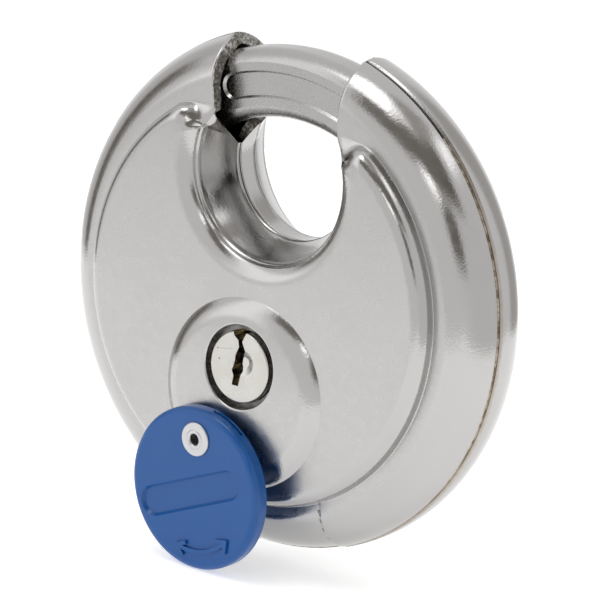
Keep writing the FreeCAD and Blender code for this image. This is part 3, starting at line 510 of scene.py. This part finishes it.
def to_mouth(direction, mouths):
    """Distance from the throat's middle to where a ray enters the metal."""
    nearest = np.full_like(direction[0], THROAT_RADIUS)
    for (x0, z0), (x1, z1) in mouths:
        run = (x1 - x0, z1 - z0)
        across = direction[0] * run[1] - direction[1] * run[0]
        across = np.where(np.abs(across) < 1e-6, 1e-6, across)
        t = ((x0 - THROAT[0]) * run[1] - (z0 - THROAT[1]) * run[0]) / across
        hits = (t > 0) & (THROAT[1] + t * direction[1] > z0)
        nearest = np.where(hits, np.maximum(nearest, t), nearest)
    return nearest


def tip_angle(mouth, radius):
    """Direction, seen from the throat's middle, of where a mouth meets a circle."""
    (x0, z0), (x1, z1) = mouth
    run = ((x1 - x0), (z1 - z0))
    length = math.hypot(*run)
    run = (run[0] / length, run[1] / length)
    reach = float(to_circle((x0, z0), run, radius))
    return math.atan2(x0 + run[0] * reach - THROAT[0], z0 + run[1] * reach - THROAT[1])


def sheet_mesh(name, outer, normals, inner, keep, rear):
    """A closed sheet: outer and inner skins of a grid, and walls round all that is kept.

    Materials: 0 outside, 1 walls, 2 inside."""
    count = outer.shape[0] * outer.shape[1]
    index = np.arange(count).reshape(outer.shape[:2])
    points = np.concatenate([outer.reshape(-1, 3), inner.reshape(-1, 3)])
    a, b, c, d = index[:-1, :-1], index[1:, :-1], index[1:, 1:], index[:-1, 1:]
    skin = np.stack([a[keep], b[keep], c[keep], d[keep]], axis=-1)
    walls = []
    padded = np.pad(keep, 1)
    for di, dj, p, q in ((-1, 0, d, a), (1, 0, b, c), (0, -1, a, b), (0, 1, c, d)):
        beyond = padded[1 + di:padded.shape[0] - 1 + di, 1 + dj:padded.shape[1] - 1 + dj]
        edge = keep & ~beyond
        walls.append(np.stack([p[edge], q[edge], q[edge] + count, p[edge] + count], axis=-1))
    walls = np.concatenate(walls)
    faces = np.concatenate([skin[:, ::-1], skin + count, walls])
    side = np.repeat([0, 2, 1], [len(skin), len(skin), len(walls)])
    if rear:
        points = points * (1.0, -1.0, 1.0)
        normals = normals * (1.0, -1.0, 1.0)
        faces = faces[:, ::-1]
    corners = points[faces[side == 1]]
    flat = unit(np.cross(corners[:, 2] - corners[:, 0], corners[:, 3] - corners[:, 1]))
    flat_normals = normals.reshape(-1, 3)
    corner_normals = np.concatenate([flat_normals, -flat_normals])[faces]
    corner_normals[side == 1] = flat[:, None, :]
    used, remap = np.unique(faces, return_inverse=True)
    mesh = bpy.data.meshes.new(name)
    place = points[used] * MM + (0.0, RIM_Y, 0.0)
    mesh.from_pydata(place.tolist(), [], remap.reshape(faces.shape).tolist())
    mesh.polygons.foreach_set("material_index", side)
    mesh.polygons.foreach_set("use_smooth", np.ones(len(faces), bool))
    mesh.normals_split_custom_set(corner_normals.reshape(-1, 3).tolist())
    mesh.update()
    piece = bpy.data.objects.new(name, mesh)
    bpy.context.scene.collection.objects.link(piece)
    return piece


def along_rays(distance, ray):
    """x and z at a distance from the throat's middle along each ray."""
    return THROAT[0] + distance * ray[0], THROAT[1] + distance * ray[1]


def top_distances(ray, near, far):
    """Rows over the lip, the face and the face's edge, as distances along the rays."""
    whole = far - near
    lip_end = near + np.minimum(LIP_REACH, LIP_SHARE * whole)
    edge_start = np.maximum(to_circle(THROAT, ray, EDGE_FROM), lip_end + LEAST_FACE * whole)
    band_end = np.maximum(to_circle(THROAT, ray, EDGE_TO),
                          edge_start + LEAST_EDGE * (far - edge_start))
    rows = [near + (lip_end - near) * t for t in np.linspace(0, 1, LIP_ROWS, endpoint=False)]
    rows += [lip_end + (edge_start - lip_end) * t
             for t in np.linspace(0, 1, FACE_ROWS, endpoint=False)]
    rows += [edge_start + (band_end - edge_start) * t for t in np.linspace(0, 1, EDGE_ROWS)]
    return np.stack(rows)


def rim_rows(shape, ray, end_height, start_radius):
    """The rim's round outside down to the seam's groove: points, normals and inner skin."""
    first = np.arccos(np.clip((start_radius - TUBE_RING) / TUBE_RADIUS, 0.0, 1.0))
    last = math.asin(end_height / TUBE_RADIUS)
    turns = first + (last - first) * np.linspace(0, 1, RIM_ROWS)[1:, None]
    d = to_circle(THROAT, ray, TUBE_RING + TUBE_RADIUS * np.cos(turns))
    own = tube_radius(*along_rays(d, ray), shape["mouths"])
    d = to_circle(THROAT, ray, TUBE_RING + own * np.cos(turns))
    x, z = along_rays(d, ray)
    rim = np.stack([x, -own * np.sin(turns), z], axis=-1)
    r = np.hypot(x, z)
    straight_out = np.stack([np.cos(turns) * x / r, -np.sin(turns) * np.ones_like(x),
                             np.cos(turns) * z / r], axis=-1)
    normals = unit(straight_out - slope(lambda a, b: tube_radius(a, b, shape["mouths"]), x, z))
    return rim, normals, rim - SHEET * straight_out


def groove_rows(shape, ray, top, top_inside):
    """The seam's groove: a bevel, then a steep flank down to its foot."""
    out = unit(top * (1.0, 0.0, 1.0))
    deep, bevel_half = GROOVE_CHAMFER
    foot_radius, foot_half = GROOVE_FOOT
    rings = []
    for radius, half in ((np.hypot(top[:, 0], top[:, 2]) - deep, bevel_half), (foot_radius, foot_half)):
        x, z = along_rays(to_circle(THROAT, ray, radius), ray)
        rings.append(np.stack([x, np.full(CUP_COLUMNS, -(shape["seam"] + half)), z], axis=-1))
    bevel, foot = rings
    to_seam = np.array((0.0, 1.0, 0.0))
    bevel_normal = unit(out * (GROOVE_HALF - bevel_half) + to_seam * deep)
    flank_normal = unit(out * (bevel_half - foot_half) + to_seam * FLANK_LEAN)
    # a narrow row after each corner keeps the two shadings apart
    groove = np.stack([top + (bevel - top) * CORNER_ROW, bevel,
                       bevel + (foot - bevel) * CORNER_ROW, foot])
    normals = np.stack([bevel_normal, bevel_normal, flank_normal, flank_normal])
    # the sheet ends just behind the groove's foot
    end = top_inside.copy()
    end[:, 1] = -(shape["seam"] + SHEET_END)
    inside = np.stack([top_inside + (end - top_inside) * t for t in (0.25, 0.5, 0.75, 1.0)])
    return groove, normals, inside


def throat_rows(shape, angles, at_throat, first_row, first_normals):
    """The throat's wall from its edge at the seam up to the first row over the lip."""
    profile = np.array(shape["throat_edge"])
    out_r, out_h = np.gradient(profile[:, 0]), np.gradient(profile[:, 1])
    last_whole = angles[at_throat].max()
    slant = shape["slant"] * soft_step(angles, last_whole - SLANT_FADE, last_whole)
    rows, normals = [], []
    for i, (edge_r, edge_h) in enumerate(profile[:-1]):
        down = (profile[-1, 1] - edge_h) / (profile[-1, 1] - profile[0, 1])
        spoke = (np.sin(angles - slant * down), np.cos(angles - slant * down))
        x, z = along_rays(edge_r, spoke)
        row = np.stack([x, np.full(CUP_COLUMNS, -edge_h), z], axis=-1)
        lean = np.stack([-out_h[i] * spoke[0], np.full(CUP_COLUMNS, -out_r[i]), -out_h[i] * spoke[1]],
                        axis=-1)
        rows.append(np.where(at_throat[:, None], row, first_row))
        normals.append(np.where(at_throat[:, None], unit(lean), first_normals))
    return np.stack(rows), np.stack(normals)


def cup(name, shape, rear):
    mouths = left, right = shape["mouths"]
    end_height = shape["seam"] + GROOVE_HALF
    rim_radius = TUBE_RING + math.sqrt(TUBE_RADIUS ** 2 - max(end_height, 0.0) ** 2)
    first_angle = tip_angle(right, rim_radius - 0.1)
    last_angle = 2 * math.pi + tip_angle(left, rim_radius - 0.1)
    angles = np.linspace(first_angle, last_angle, CUP_COLUMNS)
    ray = (np.sin(angles), np.cos(angles))
    near = to_mouth(ray, mouths)
    at_throat = near < THROAT_RADIUS + 1e-6
    torn = sum(height * np.sin(angles * waves + phase) for height, waves, phase in TEARS)
    near = near + np.where(at_throat, 0.0, torn * np.clip((near - THROAT_RADIUS) / 2, 0.0, 1.0))
    near = np.where(at_throat, shape["throat_edge"][-1][0], near)

    x, z = along_rays(top_distances(ray, near, to_circle(THROAT, ray, rim_radius)), ray)
    over = np.stack([x, -cup_height(x, z, shape), z], axis=-1)
    over_normals = height_normals(lambda a, b: cup_height(a, b, shape), x, z)
    plain_normals = height_normals(lambda a, b: cup_height(a, b, shape, 0.0), x, z)
    rim, rim_normals, rim_inside = rim_rows(shape, ray, end_height, np.hypot(x[-1], z[-1]))
    groove, groove_normals, groove_inside = groove_rows(shape, ray, rim[-1], rim_inside[-1])
    edge, edge_normals = throat_rows(shape, angles, at_throat, over[0], plain_normals[0])

    # the inside follows a smoothed outside, one sheet's thickness below
    outer = np.concatenate([edge, over, rim, groove])
    below = np.concatenate([edge_normals, plain_normals])
    normals = np.concatenate([edge_normals, over_normals, rim_normals, groove_normals])
    top_rows = len(edge) + len(over)
    padded = np.pad(below, ((SMOOTHING, SMOOTHING), (0, 0), (0, 0)), mode="edge")
    steady = unit(sum(padded[i:i + top_rows] for i in range(2 * SMOOTHING + 1)))
    inner = np.concatenate([outer[:top_rows] - SHEET * steady, rim_inside, groove_inside])
    if not rear:
        # the sheet was drawn thin beside the foot of the left mouth
        beside = soft_step(from_mouth(outer[..., 0], outer[..., 2], mouths), *THIN_FROM_MOUTH)
        thin = soft_step(outer[..., 2], *THIN_Z) * beside * (outer[..., 0] < 0)
        inner = inner + (outer - inner) * (THINNED * thin)[..., None]

    keep = np.ones((len(outer) - 1, CUP_COLUMNS - 1), bool)
    keep[:len(edge)] &= (at_throat[:-1] & at_throat[1:])[None, :]
    if not rear:
        # the boss is a sheet of its own
        middle = (outer[:-1, :-1] + outer[1:, 1:]) / 2
        from_boss = np.hypot(middle[..., 0] - BOSS[0], middle[..., 2] - BOSS[1])
        keep &= from_boss > BOSS_RADIUS - BOSS_OVERLAP
    return sheet_mesh(name, outer, normals, inner, keep, rear)


def boss_height(x, z):
    """The shallow dome round the keyway, with its broad rounded edge."""
    dome, edge_start, edge, top = 99.0, 9.9, 5.0, 11.47
    lean = math.asin(edge_start / dome)
    centre_r = edge_start - edge * math.sin(lean)
    centre_h = top - dome + math.sqrt(dome ** 2 - edge_start ** 2) - edge * math.cos(lean)
    r = np.hypot(x - BOSS[0], z - BOSS[1])
    cap = top - dome + np.sqrt(dome ** 2 - np.minimum(r, edge_start) ** 2)
    skirt = centre_h + np.sqrt(np.maximum(edge ** 2 - np.maximum(r - centre_r, 0.0) ** 2, 0.0))
    return np.where(r < edge_start, cap, skirt)


def front_boss(name):
    """The boss round the keyway: rays from the plug's middle out to the boss's foot."""
    columns, rolled = 320, 0.25
    angles = np.linspace(0, 2 * math.pi, columns)
    ray = (np.sin(angles), np.cos(angles))
    offset = PLUG[1] - BOSS[1]
    along = offset * ray[1]
    far = -along + np.sqrt(along ** 2 - offset ** 2 + (BOSS_RADIUS + 0.12) ** 2)
    turns = np.linspace(0, math.pi / 2, 6)
    rows = [np.full(columns, PLUG_HOLE + rolled * (1 - math.cos(t))) for t in turns]
    start = rows[-1]
    rows += [start + (far - start) * math.sin(t) for t in np.linspace(0, math.pi / 2, 64)[1:]]
    d = np.stack(rows)
    x, z = PLUG[0] + d * ray[0], PLUG[1] + d * ray[1]
    h = boss_height(x, z)
    normals = height_normals(boss_height, x, z, 0.01)
    for i, t in enumerate(turns):
        h[i] -= rolled * (1 - math.sin(t))
        normals[i] = np.stack([-ray[0] * math.cos(t), np.full(columns, -math.sin(t)),
                               -ray[1] * math.cos(t)], axis=-1)
    outer = np.stack([x, -h, z], axis=-1)
    inner = outer + (0.0, SHEET, 0.0)
    keep = np.ones((len(rows) - 1, columns - 1), bool)
    return sheet_mesh(name, outer, normals, inner, keep, False)


add_camera()
add_studio()
add_floor()

steel = polished_stainless()
inner_steel = plain_metal("inner_steel", (0.32, 0.32, 0.32), (0.5, 0.5, 0.5), 0.35)
hardened = plain_metal("hardened_steel", (0.12, 0.115, 0.11), (0.24, 0.235, 0.23), 0.32)
brass = plain_metal("core_brass", (0.5, 0.36, 0.14), (0.7, 0.54, 0.26), 0.3)
nickel = plain_metal("plug_nickel", (0.5, 0.49, 0.455), (0.58, 0.57, 0.54), 0.24, size=3.0)
pin_metal = plain_metal("pin_brass", (0.42, 0.28, 0.1), (0.66, 0.48, 0.2), 0.28)
spring_wire = plain_metal("spring_steel", (0.4, 0.4, 0.4), (0.6, 0.6, 0.6), 0.25)
aluminium = plain_metal("eyelet_metal", (0.52, 0.52, 0.53), (0.58, 0.58, 0.585), 0.34, size=1.0)
blue = blue_plastic()

FINISH = {
    "polished_stainless": steel, "weld": weld(), "shackle_steel": satin_steel(),
    "inner_steel": inner_steel, "hardened_steel": hardened, "core_brass": brass,
    "plug_nickel": nickel, "pin_brass": pin_metal, "spring_steel": spring_wire,
    "blue_plastic": blue, "eyelet_metal": aluminium,
}
for node in NODES.values():
    for material_slot in node.material_slots:
        material_slot.material = FINISH[material_slot.material.name]

raw_edge = cut_edge()
# the cups' inner skin gets a darker grey than the polished outside: painted shade, so the hollow rim
# looks dark through its mouths
inside = plain_metal("cup_inside_painted_shade", (0.2, 0.19, 0.18), (0.32, 0.31, 0.3), 0.45)
front_cup = cup("front_cup", FRONT_CUP, rear=False)
rear_cup = cup("rear_cup", REAR_CUP, rear=True)
boss = front_boss("front_boss")
for piece in (front_cup, rear_cup, boss):
    for material in (steel, raw_edge, inside):
        piece.data.materials.append(material)
    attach(piece, "case")
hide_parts("front_shell")
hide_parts("front_shell")
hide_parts("rear_shell")

bpy.context.scene.view_settings.view_transform = "Standard"
